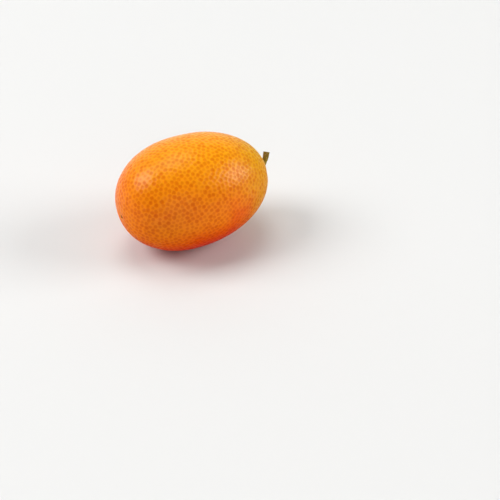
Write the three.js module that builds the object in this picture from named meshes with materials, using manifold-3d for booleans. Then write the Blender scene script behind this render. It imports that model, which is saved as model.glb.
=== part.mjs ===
// A kumquat as picked: an oval citrus fruit, its five-lobed calyx and a short cut stem.
// Millimetres, +Z up. The fruit lies on its side on a small flat resting spot, with +X running
// along it from the blossom end to the stem end. The origin is the middle of the resting spot.
import * as THREE from "three";
import { mergeVertices } from "three/addons/utils/BufferGeometryUtils.js";
import Module from "manifold-3d";

const FRUIT_LENGTH = 37.7;
const FRUIT_WIDTH = 26.8;
const OUTLINE_POWER = 2.13; // 2 draws an ellipse, more a fuller outline
const STEM_END_TAPER = 0.062; // how much slimmer the stem end is than the blossom end
const WIDEST_STEP = 0.0005; // how finely the widest place is looked for, in shares
const FRUIT_RINGS = 36;
const FRUIT_SIDES = 48;
const WELD_DISTANCE = 0.001; // corners closer than this are one

const DIP_DEPTH = 0.8; // the hollow round the calyx
const DIP_RADIUS = 2.6;
const SPOT_DEPTH = 0.32; // how much the skin is flattened where the fruit rests

const GAP = 0.3; // clearance between neighbouring pieces
const CALYX_LIFT = 0.1; // more clearance, as the hollow's bottom rises slightly under the lobes

const CALYX_LOBES = 5;
const CALYX_TIP_RADIUS = 1.55;
const CALYX_NOTCH_RADIUS = 1.05;
const CALYX_THICKNESS = 0.35;
const CALYX_BEVEL = 0.1;
const CALYX_BEVEL_STEPS = 2;
const CALYX_LOBE_STEPS = 8;

const STEM_BASE_RADIUS = 0.85;
const STEM_WAIST_RADIUS = 0.56;
const STEM_CUT_RADIUS = 0.74;
const STEM_BASE_FADE = 4; // how fast the base narrows to the waist
const STEM_CUT_FADE = 2; // how fast the cut node widens from the waist
const STEM_OUT = 1.75; // reach of the cut end along the fruit's axis
const STEM_BACK = 1.45; // its lean towards +Y
const STEM_RISE = 3.15; // its height over the axis
const BEND_OUT = 1.3; // the stem's first direction: mostly along the axis
const BEND_BACK = 0.15;
const BEND_RISE = 0.45;
const STEM_RINGS = 18;
const STEM_SIDES = 16;

const PEEL_COLOR = 0xee8a14;
const PEEL_ROUGHNESS = 0.35;
const CALYX_COLOR = 0x7d9a2a;
const CALYX_ROUGHNESS = 0.6;
const STEM_COLOR = 0x6a8224;
const STEM_ROUGHNESS = 0.65;

// Distance from the axis, as a share of the half width, at a share of the half length.
function outline(share) {
  const full = (1 - Math.abs(share) ** OUTLINE_POWER) ** (1 / OUTLINE_POWER);
  return full * (1 - STEM_END_TAPER * share);
}

// The share of the half length where the fruit is widest, by small steps from the middle.
function widestShare() {
  let widest = 0;
  while (outline(widest - WIDEST_STEP) > outline(widest)) widest -= WIDEST_STEP;
  return widest;
}

const halfLength = FRUIT_LENGTH / 2;
const widest = widestShare();
const radiusScale = FRUIT_WIDTH / 2 / outline(widest);
const axisHeight = FRUIT_WIDTH / 2 - SPOT_DEPTH;
const fruitMiddle = -widest * halfLength; // puts the resting spot under the origin

// A lathe turns its profile round Y. This lays the turned solid down, with its top towards +X.
function layAlongX(geometry) {
  return geometry.rotateZ(-Math.PI / 2);
}

// Lathe profile of the fruit: radius and place along the axis, from blossom end to stem end.
function fruitProfile() {
  const points = [];
  for (let ring = 0; ring <= FRUIT_RINGS; ring++) {
    const angle = (Math.PI * ring) / FRUIT_RINGS;
    const share = -Math.sign(Math.cos(angle)) * Math.abs(Math.cos(angle)) ** (2 / OUTLINE_POWER);
    const onAxis = ring === 0 || ring === FRUIT_RINGS;
    const radius = onAxis ? 0 : radiusScale * outline(share);
    const dip = share > 0 ? DIP_DEPTH * Math.exp(-((radius / DIP_RADIUS) ** 2)) : 0;
    points.push(new THREE.Vector2(radius, halfLength * share - dip));
  }
  return points;
}

// Closed geometry as a manifold solid. Only positions count, so the seams close up.
function solidFrom(wasm, geometry) {
  const bare = geometry.index ? geometry.toNonIndexed() : geometry.clone();
  bare.deleteAttribute("normal");
  bare.deleteAttribute("uv");
  const merged = mergeVertices(bare, WELD_DISTANCE);
  const vertProperties = new Float32Array(merged.attributes.position.array);
  const triVerts = new Uint32Array(merged.index.array);
  return new wasm.Manifold(new wasm.Mesh({ numProp: 3, vertProperties, triVerts }));
}

function geometryFrom(solid) {
  const mesh = solid.getMesh();
  const geometry = new THREE.BufferGeometry();
  geometry.setAttribute("position", new THREE.BufferAttribute(mesh.vertProperties, 3));
  geometry.setIndex(new THREE.BufferAttribute(mesh.triVerts, 1));
  const shaded = geometry.toNonIndexed();
  shaded.computeVertexNormals();
  return shaded;
}

// The whole fruit: one turned solid, cut flat underneath at the height of the resting surface.
function makeFruit(wasm) {
  const turned = layAlongX(new THREE.LatheGeometry(fruitProfile(), FRUIT_SIDES));
  turned.rotateX(Math.PI / FRUIT_SIDES);
  turned.translate(fruitMiddle, 0, axisHeight);
  const below = new THREE.BoxGeometry(FRUIT_LENGTH, FRUIT_WIDTH, FRUIT_WIDTH);
  below.translate(fruitMiddle, 0, -FRUIT_WIDTH / 2);
  return geometryFrom(solidFrom(wasm, turned).subtract(solidFrom(wasm, below)));
}

// The calyx: a thin five-lobed star with a softened edge, lying in the hollow of the stem end.
function makeCalyx() {
  const star = new THREE.Shape();
  const steps = CALYX_LOBES * CALYX_LOBE_STEPS;
  for (let step = 0; step < steps; step++) {
    const angle = (2 * Math.PI * step) / steps;
    const lobe = (1 + Math.cos(CALYX_LOBES * angle)) / 2;
    const radius = THREE.MathUtils.lerp(CALYX_NOTCH_RADIUS, CALYX_TIP_RADIUS, lobe) - CALYX_BEVEL;
    const place = [radius * Math.cos(angle), radius * Math.sin(angle)];
    if (step === 0) star.moveTo(...place);
    else star.lineTo(...place);
  }
  const geometry = new THREE.ExtrudeGeometry(star, {
    depth: CALYX_THICKNESS - 2 * CALYX_BEVEL,
    bevelThickness: CALYX_BEVEL,
    bevelSize: CALYX_BEVEL,
    bevelSegments: CALYX_BEVEL_STEPS,
  });
  return geometry.translate(0, 0, CALYX_BEVEL).rotateY(Math.PI / 2);
}

// The stem's middle line, from the calyx: out along the axis, then up and a little back.
function stemLine() {
  return new THREE.QuadraticBezierCurve3(
    new THREE.Vector3(0, 0, 0),
    new THREE.Vector3(BEND_OUT, BEND_BACK, BEND_RISE),
    new THREE.Vector3(STEM_OUT, STEM_BACK, STEM_RISE)
  );
}

// The stem's radius along its length: swollen at the calyx, slim, then wider at the cut node.
function stemRadius(share) {
  const base = (STEM_BASE_RADIUS - STEM_WAIST_RADIUS) * (1 - share) ** STEM_BASE_FADE;
  const cut = (STEM_CUT_RADIUS - STEM_WAIST_RADIUS) * share ** STEM_CUT_FADE;
  return STEM_WAIST_RADIUS + base + cut;
}

// The stem: a straight turned rod whose sections are then set square on the middle line.
function makeStem() {
  const profile = [new THREE.Vector2(0, 0)];
  for (let ring = 0; ring <= STEM_RINGS; ring++) {
    profile.push(new THREE.Vector2(stemRadius(ring / STEM_RINGS), ring / STEM_RINGS));
  }
  profile.push(new THREE.Vector2(0, 1));
  const geometry = new THREE.LatheGeometry(profile, STEM_SIDES);
  const line = stemLine();
  const positions = geometry.attributes.position;
  const point = new THREE.Vector3();
  const turn = new THREE.Quaternion();
  const up = new THREE.Vector3(0, 1, 0);
  for (let index = 0; index < positions.count; index++) {
    point.fromBufferAttribute(positions, index);
    const share = point.y;
    turn.setFromUnitVectors(up, line.getTangent(share));
    point.setY(0).applyQuaternion(turn).add(line.getPoint(share));
    positions.setXYZ(index, ...point.toArray());
  }
  geometry.computeVertexNormals();
  return geometry;
}

function piece(name, geometry, color, roughness) {
  const material = new THREE.MeshStandardMaterial({ color, roughness, metalness: 0 });
  const mesh = new THREE.Mesh(geometry, material);
  mesh.name = name;
  return mesh;
}

const wasm = await Module();
wasm.setup();

const fruit = piece("kumquat_fruit", makeFruit(wasm), PEEL_COLOR, PEEL_ROUGHNESS);

// Calyx and stem share a group whose origin is the bottom of the hollow at the stem end.
const stemEnd = new THREE.Group();
stemEnd.position.set(fruitMiddle + halfLength - DIP_DEPTH, 0, axisHeight);

const calyx = piece("calyx", makeCalyx(), CALYX_COLOR, CALYX_ROUGHNESS);
calyx.position.x = GAP + CALYX_LIFT;

const stem = piece("stem", makeStem(), STEM_COLOR, STEM_ROUGHNESS);
stem.position.x = calyx.position.x + CALYX_THICKNESS + GAP;
stemEnd.add(calyx, stem);

const kumquat = new THREE.Group();
kumquat.name = "kumquat";
kumquat.add(fruit, stemEnd);

export default kumquat;
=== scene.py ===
"""A kumquat as picked, lying on its side on a pale surface: the fruit, its calyx and its cut stem."""
import math
import random

import bpy
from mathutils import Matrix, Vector, noise
from mathutils.bvhtree import BVHTree


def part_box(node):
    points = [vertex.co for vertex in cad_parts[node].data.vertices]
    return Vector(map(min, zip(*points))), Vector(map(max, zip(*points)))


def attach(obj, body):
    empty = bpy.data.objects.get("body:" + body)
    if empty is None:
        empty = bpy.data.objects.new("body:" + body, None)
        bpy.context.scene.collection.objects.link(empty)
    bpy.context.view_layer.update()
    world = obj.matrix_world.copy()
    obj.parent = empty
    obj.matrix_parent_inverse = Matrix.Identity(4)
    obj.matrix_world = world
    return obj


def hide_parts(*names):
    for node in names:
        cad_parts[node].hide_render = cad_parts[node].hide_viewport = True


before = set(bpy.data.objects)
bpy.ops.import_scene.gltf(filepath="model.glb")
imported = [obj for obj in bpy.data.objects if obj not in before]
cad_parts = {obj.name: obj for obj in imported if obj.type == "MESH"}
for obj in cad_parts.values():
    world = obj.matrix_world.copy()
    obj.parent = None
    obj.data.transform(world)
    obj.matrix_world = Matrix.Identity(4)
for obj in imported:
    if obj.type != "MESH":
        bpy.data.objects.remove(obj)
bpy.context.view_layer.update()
scene = bpy.context.scene
MM = 0.001

# The fruit: one oval body of waxy orange peel, dotted with oil glands that show as darker, faintly
# sunken spots. It is hollowed round the stalk, has a speck where the flower's style fell off, and
# is pressed flat by its own weight where it rests.

OUTLINE_POWER = 2.13  # 2 draws an ellipse, more a fuller outline
OUTLINE_STEPS = 1000  # how finely the widest place is looked for
STEM_END_TAPER = 0.062  # how much slimmer the stem end is than the blossom end
DIP_DEPTH = 0.8 * MM
DIP_RADIUS = 2.6 * MM
POLE_TO_POLE = 37.7 * MM
GRID_CELLS = 124
SWELL = 0.5 * MM
SWELLINGS_PER_METRE = 55.0
FURROW_COUNT = 5.0
FURROW_WANDER = 3.0
FURROW_DEPTH = 0.16 * MM
FURROW_PLACE = 3.2 * MM
FURROW_WIDTH = 1.5 * MM
SPOT_SOFTNESS = 0.12 * MM
SCAR_SIDE = Vector((0.07, -0.27, -1.24)) * MM  # from the blossom end's pole
CRATER_DEPTH = 0.17 * MM
CRATER_WIDTH = 0.85 * MM
NUB_HEIGHT = 0.22 * MM
NUB_WIDTH = 0.30 * MM
GLAND_SPACING = 0.96 * MM
GLANDS_TRIED = 2.0e7  # a square metre, of which the spacing keeps a few
GLAND_DEPTH = 0.060 * MM
GLAND_FILL = 1.32  # a gland's reach, in shares of the way to the border with the next
GLAND_HOLLOW = 0.7  # the hollow's width, in shares of the reach
SMALLEST_GLAND = 0.72
GLAND_SEED = 11

fruit_low, fruit_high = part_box("kumquat_fruit")
half_width = (fruit_high.y - fruit_low.y) / 2
half_length = POLE_TO_POLE / 2
fruit_middle = fruit_low.x + half_length
axis_height = fruit_high.z - half_width
fruit_centre = Vector((fruit_middle, 0, axis_height))
scar_place = Vector((fruit_low.x, 0, axis_height)) + SCAR_SIDE


def outline(share):
    """The fruit's distance from its axis at a share of the half length, for a plain unit body."""
    full = (1 - abs(share) ** OUTLINE_POWER) ** (1 / OUTLINE_POWER)
    return full * (1 - STEM_END_TAPER * share)


class Wire:
    """A socket of a node tree. Arithmetic on it adds Math nodes, and node() adds any other node."""

    def __init__(self, tree, socket=None):
        self.tree = tree
        self.socket = socket

    def node(self, kind, settings=None, sockets=None, output=0):
        """Adds a node, sets it up, feeds its sockets with values or wires, and returns one output."""
        made = self.tree.nodes.new(kind)
        for name, value in (settings or {}).items():
            setattr(made, name, value)
        for name, value in (sockets or {}).items():
            if isinstance(value, Wire):
                self.tree.links.new(value.socket, made.inputs[name])
            else:
                made.inputs[name].default_value = value
        return Wire(self.tree, made.outputs[output])

    def math(self, operation, *others):
        sockets = dict(enumerate((self, *others)))
        return self.node("ShaderNodeMath", {"operation": operation}, sockets)

    def vector(self, operation, *others, output="Vector"):
        sockets = dict(enumerate((self, *others)))
        return self.node("ShaderNodeVectorMath", {"operation": operation}, sockets, output)

    def distance(self, place):
        return self.vector("DISTANCE", place, output="Value")

    def dot(self, direction):
        return self.vector("DOT_PRODUCT", direction, output="Value")

    def scaled(self, length):
        """This vector times a number."""
        sockets = {0: self, "Scale": length}
        return self.node("ShaderNodeVectorMath", {"operation": "SCALE"}, sockets)

    def part(self, axis):
        """One coordinate of a vector."""
        return self.node("ShaderNodeSeparateXYZ", None, {0: self}, axis)

    def step(self, low, high):
        """Goes smoothly from 0 to 1 as this value goes from low to high."""
        settings = {"interpolation_type": "SMOOTHSTEP"}
        return self.node("ShaderNodeMapRange", settings, {"Value": self, "From Min": low, "From Max": high})

    def from_least(self, least):
        """Goes from least to 1 as this value goes from 0 to 1."""
        return self * (1 - least) + least

    def cloud(self, scale, detail):
        """Soft noise from 0 to 1 over these coordinates, with about scale swells in each unit."""
        return self.node("ShaderNodeTexNoise", None, {"Vector": self, "Scale": scale, "Detail": detail})

    def grains(self):
        """A number from 0 to 1 drawn at random for each value of these coordinates."""
        return self.node("ShaderNodeTexWhiteNoise", None, {"Vector": self})

    def mix(self, first, second):
        """A colour that goes from first to second as this value goes from 0 to 1. A Mix node takes its
        colours at inputs 6 and 7 and gives the mixed one at output 2."""
        first, second = [(*c, 1) if isinstance(c, tuple) else c for c in (first, second)]
        return self.node("ShaderNodeMix", {"data_type": "RGBA"}, {0: self, 6: first, 7: second}, 2)

    def __add__(self, other):
        return self.math("ADD", other)

    def __sub__(self, other):
        return self.math("SUBTRACT", other)

    def __mul__(self, other):
        return self.math("MULTIPLY", other)

    def __truediv__(self, other):
        return self.math("DIVIDE", other)

    def __pow__(self, other):
        return self.math("POWER", other)

    def __neg__(self):
        return self * -1

    def __rsub__(self, other):
        return -self + other

    def __rtruediv__(self, other):
        return self ** -1 * other

    __radd__ = __add__
    __rmul__ = __mul__


def bell(distance, width):
    """A soft bump of height 1 at distance 0."""
    share = distance / width
    return (-(share * share)).math("EXPONENT")


def new_material(name, constants):
    """A node material, its Principled shader with these constant values, and the spot on the piece."""
    material = bpy.data.materials.new(name)
    material.use_nodes = True
    shader = material.node_tree.nodes["Principled BSDF"]
    for label, value in constants.items():
        shader.inputs[label].default_value = value
    spot = Wire(material.node_tree).node("ShaderNodeTexCoord", output="Object")
    return material, shader, spot


def kept_value(wire, name, output):
    """What the mesh keeps under this name, read in a material."""
    return wire.node("ShaderNodeAttribute", {"attribute_name": name}, output=output)


def in_relief(height):
    """The surface's normal, tilted by a relief whose height is in millimetres."""
    return height.node("ShaderNodeBump", None, {"Strength": 1.0, "Distance": MM, "Height": height})


def finish_shader(shader, wires):
    """Feeds the shader's varying inputs."""
    for label, wire in wires.items():
        wire.tree.links.new(wire.socket, shader.inputs[label])


NOISE_MIDDLE = 0.5
WOBBLES_PER_METRE = 1500.0
PATCHES_PER_METRE = 130.0
GRAINS_PER_METRE = 2600.0
FINE_GRAINS_PER_METRE = 9000.0

GLAND_WOBBLE = 0.85  # how far the glands are from round
GLAND_EDGE = (0.50, 1.08)  # where a gland's soft patch ends, in shares of its reach
PORE_EDGE = (-0.1, 0.7)  # and the darker pore within it
FAINTEST_GLAND = 0.5

PEEL_ORANGE = (0.95, 0.264, 0.001)
PEEL_DEEP = (0.94, 0.206, 0.001)
PATCH_CONTRAST = 1.6
PATCH_SHIFT = -0.3
# Painted light: the upper side, more so towards the stem end, is made yellower and brighter, standing in
# for the stronger light that falls on it.
PEEL_PAINTED_LIGHT = (0.96, 0.400, 0.002)
PAINTED_LIGHT_HEIGHTS = (0.10, 1.10)  # bands are in half widths above the axis or half lengths along it
PAINTED_LIGHT_SLANT = 0.2
PAINTED_LIGHT_STRENGTH = 0.85
# Painted shade: the underside, more so towards the stem end, is made a deeper red-orange, standing in for
# shade and for orange light bounced up from below.
PEEL_PAINTED_SHADE = (0.74, 0.034, 0.0)
PAINTED_SHADE_HEIGHTS = (0.38, -0.50)
PAINTED_SHADE_SLANT = -0.25
PAINTED_SHADE_PATCHES = 0.4
PEEL_GREEN = (0.61, 0.385, 0.001)
GREEN_BAND = (0.35, 1.25)
GREEN_PATCHES = 0.35
GREEN_STRENGTH = 0.8
GLAND_TINT = (0.80, 0.52, 0.1)
GLAND_DARKENING = 0.75
PORE_DARKENING = 0.25
GRAIN_DARKENING = 0.3
GRAIN_MIDDLE = 0.4

SCAR_BROWN = (0.20, 0.050, 0.006)
SCAR_EDGE = (0.30 * MM, 0.50 * MM)
SCAR_WOBBLE = 0.8 * MM
SCAR_RING = (0.95, 0.42, 0.09)
SCAR_RING_RADIUS = 0.75 * MM
SCAR_RING_WIDTH = 0.20 * MM
SCAR_RING_STRENGTH = 0.4

GRAIN_RELIEF = 0.020  # millimetres, as the other reliefs
FINE_RELIEF = 0.006
GLAND_RELIEF = 0.030
PORE_RELIEF = 0.020
PEEL_ROUGHNESS = 0.30
GLAND_ROUGHENING = 0.16
WAX = 0.75
WAX_OFF_GLANDS = 0.45
WAX_HEIGHTS = (-0.45, 0.42)
LEAST_WAX = 0.03
DULL_STEM_END = (0.50, 0.90)
DULL_STRENGTH = 0.90

peel_paint, peel_shader, spot = new_material("peel_orange", {
    "Subsurface Weight": 0.12,
    "Subsurface Radius": (1.0, 0.35, 0.08),
    "Subsurface Scale": 1.2 * MM,
    "Specular IOR Level": 0.02,
    "Coat IOR": 1.35,
    "Coat Roughness": 0.27,
})
wobble = spot.cloud(WOBBLES_PER_METRE, detail=2.0) - NOISE_MIDDLE
patches = spot.cloud(PATCHES_PER_METRE, detail=3.0)
grain = spot.cloud(GRAINS_PER_METRE, detail=2.0)
fine = spot.cloud(FINE_GRAINS_PER_METRE, detail=2.0)


def gland_mark(spot, name):
    """How dark an oil gland makes this spot: by its soft round patch, and by the pore within."""
    centre = kept_value(spot, name + "_centre", "Vector")
    reach = kept_value(spot, name + "_reach", "Fac")
    strength = centre.grains().from_least(FAINTEST_GLAND)
    outward = spot.distance(centre) / reach + wobble * GLAND_WOBBLE
    return (1 - outward.step(*GLAND_EDGE)) * strength, (1 - outward.step(*PORE_EDGE)) * strength


own_mark, across_mark = gland_mark(spot, "gland"), gland_mark(spot, "neighbour")
gland, pore = [own.math("MAXIMUM", across) for own, across in zip(own_mark, across_mark)]
along = (spot.part(0) - fruit_middle) / half_length
height = (spot.part(2) - axis_height) / half_width

skin = (patches * PATCH_CONTRAST + PATCH_SHIFT).mix(PEEL_DEEP, PEEL_ORANGE)
# painted light: yellower, brighter skin on the upper side
painted_light = (height + along * PAINTED_LIGHT_SLANT).step(*PAINTED_LIGHT_HEIGHTS) * PAINTED_LIGHT_STRENGTH
skin = painted_light.mix(skin, PEEL_PAINTED_LIGHT)
# painted shade: deeper red-orange skin on the underside
painted_shade = (height + patches * PAINTED_SHADE_PATCHES + along * PAINTED_SHADE_SLANT).step(*PAINTED_SHADE_HEIGHTS)
skin = painted_shade.mix(skin, PEEL_PAINTED_SHADE)
green = (along + patches * GREEN_PATCHES).step(*GREEN_BAND) * GREEN_STRENGTH
skin = green.mix(skin, PEEL_GREEN)
darkening = gland * GLAND_DARKENING + pore * PORE_DARKENING + (grain - GRAIN_MIDDLE) * GRAIN_DARKENING
skin = darkening.mix(skin, skin.vector("MULTIPLY", GLAND_TINT))
from_scar = spot.distance(tuple(scar_place)) + wobble * SCAR_WOBBLE
scar_ring = bell(from_scar - SCAR_RING_RADIUS, SCAR_RING_WIDTH) * SCAR_RING_STRENGTH
skin = scar_ring.mix(skin, SCAR_RING)
scar = 1 - from_scar.step(*SCAR_EDGE)
skin = scar.mix(skin, SCAR_BROWN)

peel_relief = grain * GRAIN_RELIEF + fine * FINE_RELIEF - gland * GLAND_RELIEF - pore * PORE_RELIEF
dull_end = along.step(*DULL_STEM_END) * DULL_STRENGTH
wax = height.step(*WAX_HEIGHTS).from_least(LEAST_WAX) * (1 - dull_end) * (1 - scar)
finish_shader(peel_shader, {
    "Base Color": skin,
    "Roughness": PEEL_ROUGHNESS + gland * GLAND_ROUGHENING,
    "Coat Weight": wax * (WAX - gland * WAX_OFF_GLANDS),
    "Normal": in_relief(peel_relief),
})


SOCKET_KINDS = {
    int: "NodeSocketInt",
    float: "NodeSocketFloat",
    Vector: "NodeSocketVector",
    bpy.types.Material: "NodeSocketMaterial",
}


def new_tree(name, values):
    """An empty Geometry Nodes tree with named inputs for these values, its first wire and its input
    wires."""
    tree = bpy.data.node_groups.new(name, "GeometryNodeTree")
    for label, value in values.items():
        tree.interface.new_socket(name=label, in_out="INPUT", socket_type=SOCKET_KINDS[type(value)])
    tree.interface.new_socket(name="Geometry", in_out="OUTPUT", socket_type="NodeSocketGeometry")
    entry = tree.nodes.new("NodeGroupInput")
    return tree, Wire(tree), {label: Wire(tree, entry.outputs[label]) for label in values}


def end_tree(geometry, material):
    """Closes a tree: real faces only, smooth, in one material."""
    real = geometry.node("GeometryNodeRealizeInstances", None, {0: geometry})
    smooth = real.node("GeometryNodeSetShadeSmooth", None, {0: real})
    dressed = smooth.node("GeometryNodeSetMaterial", None, {0: smooth, "Material": material})
    out = dressed.tree.nodes.new("NodeGroupOutput")
    dressed.tree.links.new(dressed.socket, out.inputs[0])


def grown(name, tree, values):
    """A plain mesh object, made by running a Geometry Nodes tree once with these input values."""
    piece = bpy.data.objects.new(name, bpy.data.meshes.new(name))
    scene.collection.objects.link(piece)
    modifier = piece.modifiers.new(name, "NODES")
    modifier.node_group = tree
    for item in tree.interface.items_tree:
        if item.in_out == "INPUT":
            modifier[item.identifier] = values[item.name]
    depsgraph = bpy.context.evaluated_depsgraph_get()
    made = bpy.data.meshes.new_from_object(
        piece.evaluated_get(depsgraph), preserve_all_data_layers=True, depsgraph=depsgraph
    )
    piece.modifiers.remove(modifier)
    piece.data = made
    return piece


def moved(geometry, position=None, offset=None):
    """The geometry with its points set at a position or shifted by an offset."""
    sockets = {0: geometry}
    if position is not None:
        sockets["Position"] = position
    if offset is not None:
        sockets["Offset"] = offset
    return geometry.node("GeometryNodeSetPosition", None, sockets)


def combined(x, y, z):
    return x.node("ShaderNodeCombineXYZ", None, {0: x, 1: y, 2: z})


widest = max(outline(-step / OUTLINE_STEPS) for step in range(OUTLINE_STEPS))
peel_sizes = {
    "Cells": GRID_CELLS,
    "Half Length": half_length,
    "Radius": half_width / widest,
    "Middle": fruit_middle,
    "Axis Height": axis_height,
    "Power": OUTLINE_POWER,
    "Taper": STEM_END_TAPER,
    "Dip Depth": DIP_DEPTH,
    "Dip Radius": DIP_RADIUS,
    "Swell": SWELL,
    "Swellings": SWELLINGS_PER_METRE,
    "Furrow Count": FURROW_COUNT,
    "Furrow Wander": FURROW_WANDER,
    "Furrow Depth": FURROW_DEPTH,
    "Furrow Place": FURROW_PLACE,
    "Furrow Width": FURROW_WIDTH,
    "Scar Place": scar_place,
    "Crater Depth": CRATER_DEPTH,
    "Crater Width": CRATER_WIDTH,
    "Nub Height": NUB_HEIGHT,
    "Nub Width": NUB_WIDTH,
    "Gland Spacing": GLAND_SPACING,
    "Glands Tried": GLANDS_TRIED,
    "Gland Depth": GLAND_DEPTH,
    "Gland Fill": GLAND_FILL,
    "Gland Hollow": GLAND_HOLLOW,
    "Gland Seed": GLAND_SEED,
    "Spot Softness": SPOT_SOFTNESS,
    "Material": peel_paint,
}
peel_tree, wire, given = new_tree("peel_growth", peel_sizes)
place = wire.node("GeometryNodeInputPosition")
normal = wire.node("GeometryNodeInputNormal")

# A cube's grid, from -1 to 1, is blown up to a ball, its lines spread evenly by the tangent, and the
# ball is drawn out to the fruit's outline.
lines = given["Cells"] + 1
block = wire.node("GeometryNodeMeshCube", None, {"Size": (2, 2, 2), 1: lines, 2: lines, 3: lines})
ball = place.vector("MULTIPLY", (math.pi / 4,) * 3).vector("TANGENT").vector("NORMALIZE")
aside = (1 - ball.part(0) ** 2).math("MAXIMUM", 0.0) ** 0.5
share = ball.part(0).math("SIGN") * ball.part(0).math("ABSOLUTE") ** (2 / given["Power"])
from_axis = given["Radius"] * aside ** (2 / given["Power"]) * (1 - given["Taper"] * share)
dip = given["Dip Depth"] * bell(from_axis, given["Dip Radius"]) * share.math("GREATER_THAN", 0.0)
oval = moved(block, combined(
    given["Middle"] + given["Half Length"] * share - dip,
    from_axis * ball.part(1) / aside,
    given["Axis Height"] + from_axis * ball.part(2) / aside,
))

# Growth: gentle swellings, furrows that run into the hollow, and the crater and nub of the scar.
sideways = place.part(1)
upward = place.part(2) - given["Axis Height"]
ring = (sideways ** 2 + upward ** 2) ** 0.5
turn = upward.math("ARCTAN2", sideways)
swelling = place.cloud(given["Swellings"], detail=1.0)
furrow_line = (turn * given["Furrow Count"] + swelling * given["Furrow Wander"]).math("COSINE")
furrow_reach = bell(ring - given["Furrow Place"], given["Furrow Width"])
stem_half = (place.part(0) - given["Middle"]).math("GREATER_THAN", 0.0)
furrows = furrow_line * furrow_reach * stem_half * given["Furrow Depth"]
scar_distance = place.distance(given["Scar Place"])
crater = bell(scar_distance, given["Crater Width"]) * given["Crater Depth"]
nub = bell(scar_distance, given["Nub Width"]) * given["Nub Height"]
rise = (swelling - NOISE_MIDDLE) * given["Swell"] + furrows - crater + nub
grown_skin = moved(oval, offset=normal.scaled(rise))

# Oil glands: points kept a spacing apart, each with its hollow, which reaches about half way to
# the next one. Every face remembers the centre and reach of its own gland and of the one across.
glands = wire.node("GeometryNodeDistributePointsOnFaces", {"distribute_method": "POISSON"}, {
    "Mesh": grown_skin,
    "Distance Min": given["Gland Spacing"],
    "Density Max": given["Glands Tried"],
    "Seed": given["Gland Seed"],
})
next_gland = wire.node(
    "GeometryNodeFieldAtIndex",
    {"data_type": "FLOAT_VECTOR"},
    {"Value": place, "Index": wire.node("GeometryNodeIndexOfNearest")},
)
way_to_next = place.distance(next_gland)


def gland_near(spot):
    """The centre and reach of the gland nearest to a spot."""
    index = spot.node("GeometryNodeSampleNearest", None, {"Geometry": glands, "Sample Position": spot})
    found = []
    for kind, value in (("FLOAT_VECTOR", place), ("FLOAT", way_to_next)):
        sockets = {"Geometry": glands, "Value": value, "Index": index}
        found.append(spot.node("GeometryNodeSampleIndex", {"data_type": kind}, sockets))
    centre, to_next = found
    return centre, to_next / 2 * centre.grains().from_least(SMALLEST_GLAND) * given["Gland Fill"]


def marked(geometry, name, kind, value):
    """The geometry with a value kept on each face."""
    settings = {"data_type": kind, "domain": "FACE"}
    sockets = {"Geometry": geometry, "Name": name, "Value": value}
    return geometry.node("GeometryNodeStoreNamedAttribute", settings, sockets)


own_centre, own_reach = gland_near(place)
across_centre, across_reach = gland_near(place.vector("ADD", place.vector("SUBTRACT", own_centre)))
kept = marked(grown_skin, "gland_centre", "FLOAT_VECTOR", own_centre)
kept = marked(kept, "gland_reach", "FLOAT", own_reach)
kept = marked(kept, "neighbour_centre", "FLOAT_VECTOR", across_centre)
kept = marked(kept, "neighbour_reach", "FLOAT", across_reach)
hollow = bell(place.distance(own_centre), own_reach * given["Gland Hollow"]) * given["Gland Depth"]
pitted = moved(kept, offset=normal.scaled(-hollow))

# The resting spot: nothing reaches below the surface the fruit lies on.
pressed = place.node(
    "ShaderNodeMath",
    {"operation": "SMOOTH_MAX"},
    {0: place.part(2), 1: 0.0, 2: given["Spot Softness"]},
)
end_tree(moved(pitted, combined(place.part(0), place.part(1), pressed)), given["Material"])

fruit = grown("kumquat_body", peel_tree, peel_sizes)
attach(fruit, "root")
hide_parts("kumquat_fruit")

# The calyx: the dried green star of five short lobes that once held the flower. It lies pressed on
# the peel in the hollow of the stem end, thick in the middle where the stalk joins it.

CALYX_LOBES = 5
CALYX_TIP = 1.62 * MM
CALYX_NOTCH = 0.92 * MM
CALYX_MIDDLE = 0.62 * MM
CALYX_EDGE = 0.13 * MM
CALYX_FALL = 1.5  # how roundly it thins from the middle to the edge
CALYX_CURL = 0.16 * MM
CALYX_CURL_POWER = 4  # more keeps the curl nearer to the tips
CALYX_SINK = 0.04 * MM
CALYX_ROUGH_HEIGHT = 0.03 * MM
CALYX_ROUGH_WIDTH = 0.35 * MM
LOBE_POWER = 1.5  # 1 makes the lobes pointed, 2 round
RIB_HEIGHT = 0.05 * MM
RIB_WIDTH = 0.18  # in shares of half a lobe
SHORTEST_LOBE = 0.88
LONGEST_LOBE = 1.06
CALYX_SEED = 5
CALYX_RINGS = 22
CALYX_SIDES = 160
CLEAR_OF_PEEL = 5 * MM

calyx_random = random.Random(CALYX_SEED)
lobe_reach = [calyx_random.uniform(SHORTEST_LOBE, LONGEST_LOBE) for _ in range(CALYX_LOBES)]
stem_pole = Vector((fruit_middle + half_length - DIP_DEPTH, 0, axis_height))
peel_surface = BVHTree.FromPolygons(
    [v.co for v in fruit.data.vertices], [p.vertices for p in fruit.data.polygons]
)


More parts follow.
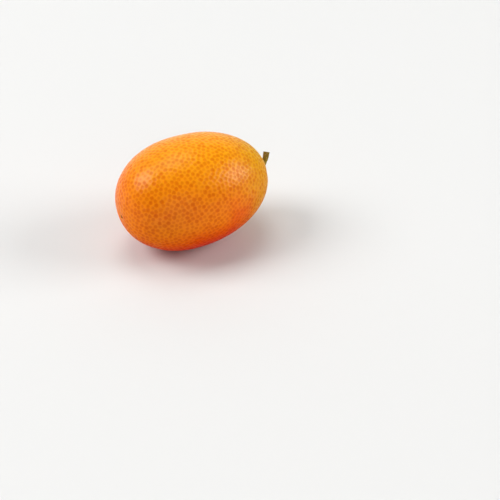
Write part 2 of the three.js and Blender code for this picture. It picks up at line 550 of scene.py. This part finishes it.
def ringed_mesh(name, rings, sides, point, fibre, material):
    """A closed mesh of rings between two poles. point(ring, side) gives each place, and fibre gives
    the place's coordinates along the grain, kept for the material."""
    spots = [(0, 0)] + [(ring, side) for ring in range(1, rings) for side in range(sides)] + [(rings, 0)]
    places = [point(*spot) for spot in spots]
    last = len(places) - 1
    faces = []
    for side in range(sides):
        after = (side + 1) % sides
        faces.append((0, 1 + after, 1 + side))
        for ring in range(rings - 2):
            start = 1 + ring * sides
            faces.append((start + side, start + after, start + sides + after, start + sides + side))
        start = 1 + (rings - 2) * sides
        faces.append((start + side, start + after, last))
    mesh = bpy.data.meshes.new(name)
    mesh.from_pydata(places, [], faces)
    grain = mesh.attributes.new("grain", "FLOAT_VECTOR", "POINT")
    for number, spot in enumerate(spots):
        grain.data[number].vector = fibre(*spot)
    mesh.polygons.foreach_set("use_smooth", [True] * len(mesh.polygons))
    mesh.materials.append(material)
    piece = bpy.data.objects.new(name, mesh)
    scene.collection.objects.link(piece)
    return piece


def lobe_at(angle):
    """How far a direction is from a lobe's middle, 0, to a notch, 1, and that lobe's reach."""
    number = angle / (2 * math.pi) * CALYX_LOBES
    return abs(number - round(number)) * 2, lobe_reach[round(number) % CALYX_LOBES]


def calyx_point(ring, side):
    """Up to the edge the rings run over the top from the middle, then back underneath."""
    over = ring <= CALYX_RINGS / 2
    outward = ring / (CALYX_RINGS / 2) if over else 2 - ring / (CALYX_RINGS / 2)
    angle = -2 * math.pi * side / CALYX_SIDES
    aside, reach = lobe_at(angle)
    lobe = 1 - aside ** LOBE_POWER
    edge = CALYX_NOTCH + (CALYX_TIP * reach - CALYX_NOTCH) * lobe
    radius = edge * math.sin(outward * math.pi / 2)
    y = radius * math.cos(angle)
    z = radius * math.sin(angle)
    start = stem_pole + Vector((CLEAR_OF_PEEL, y, z))
    hit = peel_surface.ray_cast(start, Vector((-1, 0, 0)))[0]
    rough = noise.noise(Vector((y, z, 0)) / CALYX_ROUGH_WIDTH) * CALYX_ROUGH_HEIGHT
    curl = CALYX_CURL * outward ** CALYX_CURL_POWER * lobe
    if over:
        fall = math.cos(outward * math.pi / 2) ** CALYX_FALL
        thickness = CALYX_EDGE + (CALYX_MIDDLE - CALYX_EDGE) * fall
        rib = RIB_HEIGHT * math.exp(-(aside / RIB_WIDTH) ** 2) * outward
        return hit + Vector((thickness + curl + rib + rough, 0, 0))
    return hit + Vector((curl - CALYX_SINK * (1 - outward ** CALYX_CURL_POWER), 0, 0))


def fibre_at(ring, rings, side, sides, length):
    """Coordinates for a pattern that is drawn out along the rings' way: a short length streaks it."""
    angle = 2 * math.pi * side / sides
    return math.cos(angle), math.sin(angle), length * ring / rings


CALYX_FIBRE_LENGTH = 0.25
CALYX_MOTTLES_PER_METRE = 2200.0
CALYX_FIBRES = 9.0
CALYX_GREEN = (0.150, 0.200, 0.018)
CALYX_PALE = (0.340, 0.360, 0.055)
CALYX_CONTRAST = 1.8
CALYX_SHIFT = -1.3
CALYX_BROWN = (0.150, 0.070, 0.016)
BROWN_BAND = (0.95, 1.40)  # in shares of the way to the tips
BROWN_MOTTLE = 0.6
BROWN_STRENGTH = 0.9
CALYX_MOTTLE_RELIEF = 0.06
CALYX_FIBRE_RELIEF = 0.07
CALYX_ROUGHNESS = 0.5
CALYX_ROUGHENING = 0.25


def calyx_fibre(ring, side):
    """The calyx's fibres run outwards from its middle."""
    return fibre_at(ring, CALYX_RINGS, side, CALYX_SIDES, CALYX_FIBRE_LENGTH)


calyx_paint, calyx_shader, spot = new_material("calyx_green", {"Specular IOR Level": 0.15})
to_tip = ((spot.part(1) ** 2 + (spot.part(2) - axis_height) ** 2) ** 0.5) / CALYX_TIP
mottle = spot.cloud(CALYX_MOTTLES_PER_METRE, detail=4.0)
fibre = kept_value(spot, "grain", "Vector").cloud(CALYX_FIBRES, detail=3.0)
leaf = ((mottle + fibre) * CALYX_CONTRAST + CALYX_SHIFT).mix(CALYX_GREEN, CALYX_PALE)
brown = (to_tip + mottle * BROWN_MOTTLE).step(*BROWN_BAND) * BROWN_STRENGTH
leaf = brown.mix(leaf, CALYX_BROWN)
finish_shader(calyx_shader, {
    "Base Color": leaf,
    "Roughness": CALYX_ROUGHNESS + mottle * CALYX_ROUGHENING,
    "Normal": in_relief(mottle * CALYX_MOTTLE_RELIEF + fibre * CALYX_FIBRE_RELIEF),
})
calyx = ringed_mesh("calyx_star", CALYX_RINGS, CALYX_SIDES, calyx_point, calyx_fibre, calyx_paint)
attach(calyx, "root")
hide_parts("calyx")

# The stem: the last few millimetres of the stalk, finely ridged, swollen where it joins the calyx
# and wider again at the node where it was cut. Its cut face is pale with a darker rim.

STEM_BASE = 1.0 * MM
STEM_WAIST = 0.58 * MM
STEM_NODE = 0.76 * MM
STEM_BASE_POWER = 7  # how fast the base narrows to the waist
STEM_NODE_POWER = 2  # how fast the node widens from the waist
STEM_SINK = 0.42 * MM
STEM_BEND = Vector((1.3, 0.15, 0.45)) * MM
STEM_TILT_DROP = 0.28 * MM
STEM_RIDGES = 9
RIDGE_HEIGHT = 0.07  # in shares of the radius
RIDGE_MIDDLE = 0.6
RIDGE_POWER = 0.7  # less makes broader ridges and narrower grooves
RIDGE_TWIST = 0.8
RIDGE_WANDER = 1.5
RIDGE_WANDER_LENGTH = 2
STEM_LUMP_HEIGHT = 0.09  # in shares of the radius
STEM_LUMP_WIDTH = 0.5 * MM
CUT_HOLLOW = 0.05 * MM
CUT_HOLLOW_SPAN = 0.9
CUT_ROUGH_HEIGHT = 0.03 * MM
CUT_ROUGH_WIDTH = 0.2 * MM
STEM_RINGS = 90
STEM_CAP_RINGS = 8
STEM_SIDES = 72

stem_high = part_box("stem")[1]
stem_start = stem_pole + Vector((CALYX_MIDDLE - STEM_SINK, 0, 0))
stem_cut = stem_high - Vector((STEM_NODE, STEM_NODE, STEM_TILT_DROP))
stem_bend = stem_start + STEM_BEND


def stem_line(share):
    """The stem's middle line, a curve that leaves the calyx along the axis and turns upwards."""
    first = stem_start.lerp(stem_bend, share)
    second = stem_bend.lerp(stem_cut, share)
    return first.lerp(second, share), (second - first).normalized()


def stem_point(ring, side):
    """Rings up the stem, then a few across the cut face to its middle."""
    body_rings = STEM_RINGS - STEM_CAP_RINGS
    share = min(ring / body_rings, 1)
    centre, direction = stem_line(share)
    angle = 2 * math.pi * side / STEM_SIDES
    across = Vector((0, 1, 0))
    out = (across - direction * across.dot(direction)).normalized()
    over = direction.cross(out)
    base = (STEM_BASE - STEM_WAIST) * (1 - share) ** STEM_BASE_POWER
    node = (STEM_NODE - STEM_WAIST) * share ** STEM_NODE_POWER
    around = Vector((math.cos(angle), math.sin(angle), RIDGE_WANDER_LENGTH * share))
    wander = RIDGE_WANDER * noise.noise(around)
    ridge = abs(math.sin(angle * STEM_RIDGES / 2 + share * RIDGE_TWIST + wander)) ** RIDGE_POWER
    radius = (STEM_WAIST + base + node) * (1 + RIDGE_HEIGHT * (ridge - RIDGE_MIDDLE))
    place = centre + (out * math.cos(angle) + over * math.sin(angle)) * radius
    place += (place - centre) * STEM_LUMP_HEIGHT * noise.noise(place / STEM_LUMP_WIDTH)
    if ring == 0:
        return centre
    if ring > body_rings:
        inward = (ring - body_rings) / STEM_CAP_RINGS
        place = place.lerp(centre, inward)
        sunk = CUT_HOLLOW * math.sin(inward * math.pi * CUT_HOLLOW_SPAN)
        place += direction * (CUT_ROUGH_HEIGHT * noise.noise(place / CUT_ROUGH_WIDTH) - sunk)
    return place


STEM_FIBRE_LENGTH = 0.6
STEM_MOTTLES_PER_METRE = 1100.0
STEM_SPECKS_PER_METRE = 4200.0
STEM_FIBRES = 7.0
STEM_GREEN = (0.190, 0.165, 0.008)
STEM_OLIVE = (0.380, 0.240, 0.022)
STEM_CONTRAST = 1.9
STEM_SHIFT = -1.4
STEM_BROWN = (0.210, 0.085, 0.012)
BROWNING_BAND = (0.05, 0.45)
BROWNING_MOTTLE = 1.2
BROWNING_LENGTH = 4.5 * MM  # how far from the cut it fades away
BROWNING_STRENGTH = 0.6
STEM_DARK = (0.060, 0.050, 0.008)
GROOVE_BAND = (0.50, 0.34)
GROOVE_STRENGTH = 0.40
STEM_PITH = (0.60, 0.47, 0.24)
SPECK_BAND = (0.64, 0.70)
SPECK_STRENGTH = 0.5
CUT_FACE = (-0.10 * MM, -0.05 * MM)  # where the cut face starts, seen from its middle
CUT_RIM = (0.62, 0.95)  # in shares of the node's radius
STEM_MOTTLE_RELIEF = 0.04
STEM_FIBRE_RELIEF = 0.09
STEM_SPECK_RELIEF = 0.02
STEM_ROUGHNESS = 0.5
STEM_ROUGHENING = 0.2


def stem_fibre(ring, side):
    """The stem's fibres run along it."""
    return fibre_at(ring, STEM_RINGS, side, STEM_SIDES, STEM_FIBRE_LENGTH)


stem_paint, stem_shader, spot = new_material("stem_green", {"Specular IOR Level": 0.15})
mottle = spot.cloud(STEM_MOTTLES_PER_METRE, detail=4.0)
speck = spot.cloud(STEM_SPECKS_PER_METRE, detail=1.0)
fibre = kept_value(spot, "grain", "Vector").cloud(STEM_FIBRES, detail=4.0)
cut_centre, cut_direction = stem_line(1)
above_cut = spot.vector("SUBTRACT", tuple(cut_centre)).dot(tuple(cut_direction))
from_cut = spot.distance(tuple(cut_centre))
bark = ((mottle + fibre) * STEM_CONTRAST + STEM_SHIFT).mix(STEM_GREEN, STEM_OLIVE)
browning = (mottle * BROWNING_MOTTLE - from_cut / BROWNING_LENGTH).step(*BROWNING_BAND) * BROWNING_STRENGTH
bark = browning.mix(bark, STEM_BROWN)
bark = (fibre.step(*GROOVE_BAND) * GROOVE_STRENGTH).mix(bark, STEM_DARK)
bark = (speck.step(*SPECK_BAND) * SPECK_STRENGTH).mix(bark, STEM_PITH)
pith = above_cut.step(*CUT_FACE) * (1 - (from_cut / STEM_NODE).step(*CUT_RIM))
bark = pith.mix(bark, STEM_PITH)
bark_relief = mottle * STEM_MOTTLE_RELIEF + fibre * STEM_FIBRE_RELIEF + speck * STEM_SPECK_RELIEF
finish_shader(stem_shader, {
    "Base Color": bark,
    "Roughness": STEM_ROUGHNESS + mottle * STEM_ROUGHENING,
    "Normal": in_relief(bark_relief),
})
stem = ringed_mesh("stem_cut", STEM_RINGS, STEM_SIDES, stem_point, stem_fibre, stem_paint)
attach(stem, "root")
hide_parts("stem")

# The surface it rests on: a plain matt white sheet in soft studio light. A pale backdrop and sweep
# light the fruit from behind, and five square lamps light it from above and from the sides.

FLOOR_SIDE = 2.4
FLOOR_WHITE = (0.75, 0.75, 0.74, 1)
SKY_WHITE = (0.85, 0.85, 0.85)
SKY_DIM = (0.20, 0.20, 0.20)
SKY_DARK = (0.13, 0.13, 0.13)
SKYLINE = (0.06, 0.20)
BACKDROP_TOWARDS = (0.37, 0.93, 0)
BACKDROP_EDGE = (0.3, 0.9)
BACKDROP_TOP = (0.6, 0.9)
SWEEP_TOWARDS = (-0.26, 0.97, 0)
SWEEP_EDGE = (-0.05, 0.4)
SOFTBOXES = {
    "softbox_left": {"azimuth": -118.9, "elevation": 44.0, "side": 0.90, "distance": 1.6, "power": 17.5},
    "softbox_right": {"azimuth": 62.0, "elevation": 25.8, "side": 0.86, "distance": 1.6, "power": 15.0},
    "softbox_front": {"azimuth": -15.0, "elevation": 15.0, "side": 1.20, "distance": 1.6, "power": 3.8},
    "softbox_back": {"azimuth": 170.0, "elevation": 74.0, "side": 0.85, "distance": 1.6, "power": 7.6},
    "overhead": {"azimuth": 0.0, "elevation": 90.0, "side": 2.4, "distance": 2.0, "power": 2.3},
}

floor_mesh = bpy.data.meshes.new("floor")
reach = FLOOR_SIDE / 2
corners = [(-reach, -reach, 0), (reach, -reach, 0), (reach, reach, 0), (-reach, reach, 0)]
floor_mesh.from_pydata(corners, [], [(0, 1, 2, 3)])
floor = bpy.data.objects.new("floor", floor_mesh)
scene.collection.objects.link(floor)
floor_mesh.materials.append(new_material("floor_white", {"Base Color": FLOOR_WHITE, "Roughness": 0.9})[0])

world = bpy.data.worlds.new("studio")
world.use_nodes = True
direction = Wire(world.node_tree).node("ShaderNodeTexCoord")
rise = direction.part(2)
backdrop = direction.dot(BACKDROP_TOWARDS).step(*BACKDROP_EDGE)
sweep = direction.dot(SWEEP_TOWARDS).step(*SWEEP_EDGE)
low_sky = sweep.mix(SKY_DIM, SKY_WHITE)
high_sky = (backdrop * (1 - rise.step(*BACKDROP_TOP))).mix(SKY_DARK, SKY_WHITE)
sky = rise.step(*SKYLINE).mix(low_sky, high_sky)
world.node_tree.links.new(sky.socket, world.node_tree.nodes["Background"].inputs["Color"])
scene.world = world


def direction_to(azimuth, elevation):
    """The unit vector at these angles: azimuth 0 is the front, -Y, and goes up towards +X."""
    flat = math.cos(elevation)
    return Vector((math.sin(azimuth) * flat, -math.cos(azimuth) * flat, math.sin(elevation)))


for name, box in SOFTBOXES.items():
    towards = direction_to(math.radians(box["azimuth"]), math.radians(box["elevation"]))
    lamp = bpy.data.lights.new(name, "AREA")
    lamp.shape = "SQUARE"
    lamp.size = box["side"]
    lamp.energy = box["power"]
    softbox = bpy.data.objects.new(name, lamp)
    softbox.location = fruit_centre + towards * box["distance"]
    softbox.rotation_euler = towards.to_track_quat("Z", "Y").to_euler()
    scene.collection.objects.link(softbox)
scene.view_settings.view_transform = "Standard"

# The camera: a long lens that looks down at the fruit from the blossom end's side. It is aimed past
# the fruit, which so stands left of and above the middle of the picture.

PIXEL = 0.236 * MM  # what one pixel of the picture spans at the fruit
PICTURE_PIXELS = 500
LENS_MM = 100
SENSOR_MM = 36
CLIP_START = 10 * MM
SIGHT_AZIMUTH = math.radians(-26.38)
SIGHT_ELEVATION = math.radians(34.70)
AIM_AZIMUTH = math.radians(-29.254)
AIM_ELEVATION = math.radians(37.221)

camera_data = bpy.data.cameras.new("camera")
camera_data.lens = LENS_MM
camera_data.sensor_width = SENSOR_MM
camera_data.clip_start = CLIP_START
camera = bpy.data.objects.new("camera", camera_data)
sight_distance = PIXEL * PICTURE_PIXELS * LENS_MM / SENSOR_MM
camera.location = fruit_centre + direction_to(SIGHT_AZIMUTH, SIGHT_ELEVATION) * sight_distance
camera.rotation_euler = (math.pi / 2 - AIM_ELEVATION, 0, AIM_AZIMUTH)
scene.collection.objects.link(camera)
scene.camera = camera
